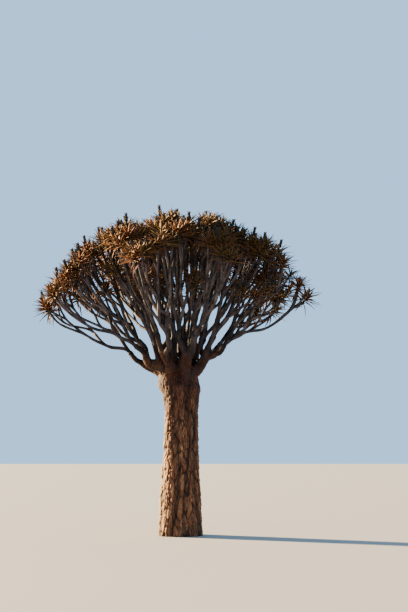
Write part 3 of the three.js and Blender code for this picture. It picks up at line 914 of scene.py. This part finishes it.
TINTS = {
    "olive": ((0.078, 0.0445, 0.0135), 0.34),
    "amber": ((0.103, 0.0395, 0.014), 0.34),
    "straw": ((0.163, 0.088, 0.032), 0.16),
    "sage": ((0.053, 0.0365, 0.0155), 0.16),
}  # linear colour, and share of the heads
LEAF_ROUGHNESS = 0.5
LEAF_SHEEN = 0.12
DEAD_TINT = (0.07, 0.026, 0.016)
DEAD_ROUGHNESS = 0.75


def leaf_pattern():
    """A leaf's corners as (along, across, up), in lengths and widths of a leaf, and its faces."""
    corners = []
    faces = [(0, 1, 2, 3)]
    for share, half in LEAF_STATIONS:
        corners.append((share, -half, 0))
        corners.append((share, 0, -LEAF_CHANNEL * half * 2))
        corners.append((share, half, 0))
        corners.append((share, 0, -LEAF_KEEL * half * 2))
    corners.append((1, 0, 0))
    last = len(LEAF_STATIONS) * 4
    for n in range(0, last - 4, 4):
        for k in range(4):
            after = (k + 1) % 4
            faces.append((n + k, n + 4 + k, n + 4 + after, n + after))
    for k in range(4):
        faces.append((last - 4 + k, last, last - 4 + (k + 1) % 4))
    return np.array(corners), faces


pattern, leaf_faces = leaf_pattern()
leaf_random = np.random.default_rng(LEAF_SEED)


def leaf_part(root, out, up, length, width, curl):
    """A leaf that points out from its root, with its channel up."""
    across = np.cross(up, out)
    along = pattern[:, :1] * length
    lift = pattern[:, 2:] * width + curl * length * pattern[:, :1] ** 2
    return root + along * out + pattern[:, 1:2] * width * across + lift * up, leaf_faces


def head_leaves(head, count, spreads, length, width, curls):
    """A head's leaves, from the top of its row down."""
    axis = np.array(head["axis"])
    end = np.array(head["end"])
    side = np.cross(axis, (0, 1, 0))
    side /= np.linalg.norm(side)
    other = np.cross(axis, side)
    turn = leaf_random.uniform(0, 2 * math.pi)
    for n in range(count):
        share = (n + 0.5) / count
        spread = lerp(*spreads, share**SPREAD_EASE) + leaf_random.normal(0, SPREAD_STRAY)
        angle = turn + n * GOLDEN_ANGLE
        round_axis = side * math.cos(angle) + other * math.sin(angle)
        out = axis * math.cos(spread) + round_axis * math.sin(spread)
        up = axis * math.sin(spread) - round_axis * math.cos(spread)
        root = end - axis * LEAF_ROW * share - axis * LEAF_TOP + out * LEAF_ROOT
        own_length = length * lerp(INNER_LENGTH, 1, min(share / FULL_LENGTH, 1))
        own_length *= leaf_random.uniform(*LENGTH_STRAY)
        curl = lerp(*curls, share) + leaf_random.normal(0, CURL_STRAY)
        yield leaf_part(root, out, up, own_length, width, curl)


tint_parts = {name: [] for name in TINTS}
dead_parts = []
dead_length = LEAF_LENGTH * DEAD_SIZE
dead_width = LEAF_WIDTH * DEAD_SIZE
names = list(TINTS)
shares = [share for _, share in TINTS.values()]
for head in heads:
    tint = leaf_random.choice(names, p=shares)
    tint_parts[tint] += head_leaves(head, LIVE_LEAVES, LEAF_SPREAD, LEAF_LENGTH, LEAF_WIDTH, LEAF_CURLS)
    low = {**head, "end": head["end"] - head["axis"] * LEAF_ROW * DEAD_DROP}
    dead_parts += head_leaves(low, DEAD_LEAVES, DEAD_SPREAD, dead_length, dead_width, DEAD_CURLS)
for name, (tint, _) in TINTS.items():
    finish = Finish(f"leaf_{name}", LEAF_ROUGHNESS, LEAF_SHEEN)
    finish.colour((*tint, 1))
    leaves = joined(f"leaves_{name}", tint_parts[name], finish)
    leaves.data.shade_smooth()
dead = Finish("leaf_dead", DEAD_ROUGHNESS)
dead.colour((*DEAD_TINT, 1))
dead_leaves = joined("leaves_dead", dead_parts, dead)
dead_leaves.data.shade_smooth()

# The spent flower spikes
# Stiff dark stalks left over from the winter's flowers, crowded with split seed pods towards the top.
# Some heads bear one, more of them on the left.
SPIKE_SHARES = (0.2, 0.4)  # of the heads that bear one: elsewhere, and on the left
SPIKE_LEFT = -0.35  # where on the disc the left begins
SPIKE_HEIGHT = 0.215
SPIKE_STRAY = (0.85, 1)
SPIKE_STALK = 0.008
SPIKE_SIDES = 5
PODS = 24
POD_SIZE = (0.023, 0.015)  # half of a pod's length, and of its width
POD_START = 0.3  # how far up the stalk the pods begin
POD_UPTURN = 0.6
POD_SEAT = 1.2  # how far a pod's middle is from the stalk's, in widths
SPENT_TINT = (0.035, 0.026, 0.022)
SPENT_ROUGHNESS = 0.85
pod_faces = [(0, 1, 2), (0, 2, 3), (0, 3, 4), (0, 4, 1), (5, 2, 1), (5, 3, 2), (5, 4, 3), (5, 1, 4)]


def pod(centre, out):
    """A seed pod that points out, with eight faces."""
    side = out.orthogonal().normalized()
    other = out.cross(side)
    length, width = POD_SIZE
    ring = [centre + side * width, centre + other * width, centre - side * width, centre - other * width]
    return np.array([centre + out * length, *ring, centre - out * length]), pod_faces


spike_parts = []
for head in heads:
    if leaf_random.uniform() > SPIKE_SHARES[head["x"] < SPIKE_LEFT]:
        continue
    axis, end = head["axis"], head["end"]
    tall = SPIKE_HEIGHT * leaf_random.uniform(*SPIKE_STRAY)
    spike_parts.append(tube([end, end + axis * tall], [SPIKE_STALK, SPIKE_STALK / 2], SPIKE_SIDES))
    side = axis.orthogonal().normalized()
    for n in range(PODS):
        share = lerp(POD_START, 1, n / (PODS - 1))
        out = Quaternion(axis, n * GOLDEN_ANGLE) @ side
        out = (out + axis * POD_UPTURN).normalized()
        spike_parts.append(pod(end + axis * tall * share + out * POD_SIZE[1] * POD_SEAT, out))
spent = Finish("spent_spike", SPENT_ROUGHNESS)
spent.colour((*SPENT_TINT, 1))
spikes = joined("spent_spikes", spike_parts, spent)

# The studio
# A plain pale floor under a plain pale sky. A broad warm light stands low on the left and a little behind
# the tree, and the sky lights the rest softly.
FLOOR_SIZE = 160
FLOOR_TINT = (0.28, 0.265, 0.245)
FLOOR_ROUGHNESS = 0.9
SKY_TINT = (0.39, 0.66, 0.99)
SKY_STRENGTH = 1.45
SUN_TILT = math.radians(75)  # from overhead
SUN_TURN = math.radians(-116)  # from behind the viewer, round by the left
SUN_STRENGTH = 57
SUN_SPREAD = math.radians(3)
SUN_TINT = (1, 0.74, 0.42)
EYE_HEIGHT = 1.6  # over the ground
EYE_DISTANCE = 20.3
EYE_RIGHT = 0.43  # of the trunk's foot
EYE_TILT = math.radians(7.22)  # upwards
LENS = 65

bpy.ops.object.select_all(action="DESELECT")
bpy.ops.mesh.primitive_plane_add(size=FLOOR_SIZE, location=(0, 0, 0))
floor = bpy.context.object
floor.name = "floor"
floor_finish = Finish("pale_floor", FLOOR_ROUGHNESS)
floor_finish.colour((*FLOOR_TINT, 1))
floor.data.materials.append(floor_finish.material)
floor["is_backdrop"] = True

world = bpy.data.worlds.new("pale_sky")
bpy.context.scene.world = world
world.use_nodes = True
background = world.node_tree.nodes["Background"]
background.inputs["Color"].default_value = (*SKY_TINT, 1)
background.inputs["Strength"].default_value = SKY_STRENGTH

bpy.ops.object.select_all(action="DESELECT")
bpy.ops.object.light_add(type="SUN", rotation=(SUN_TILT, 0, SUN_TURN))
key = bpy.context.object
key.name = "key_light"
key.data.energy = SUN_STRENGTH
key.data.angle = SUN_SPREAD
key.data.color = SUN_TINT

bpy.ops.object.camera_add(
    location=(EYE_RIGHT, -EYE_DISTANCE, EYE_HEIGHT), rotation=(math.pi / 2 + EYE_TILT, 0, 0)
)
camera = bpy.context.object
camera.data.lens = LENS
bpy.context.scene.camera = camera

size = {"cad": [list(corner) for corner in cad_box], "visual": [list(corner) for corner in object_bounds()]}
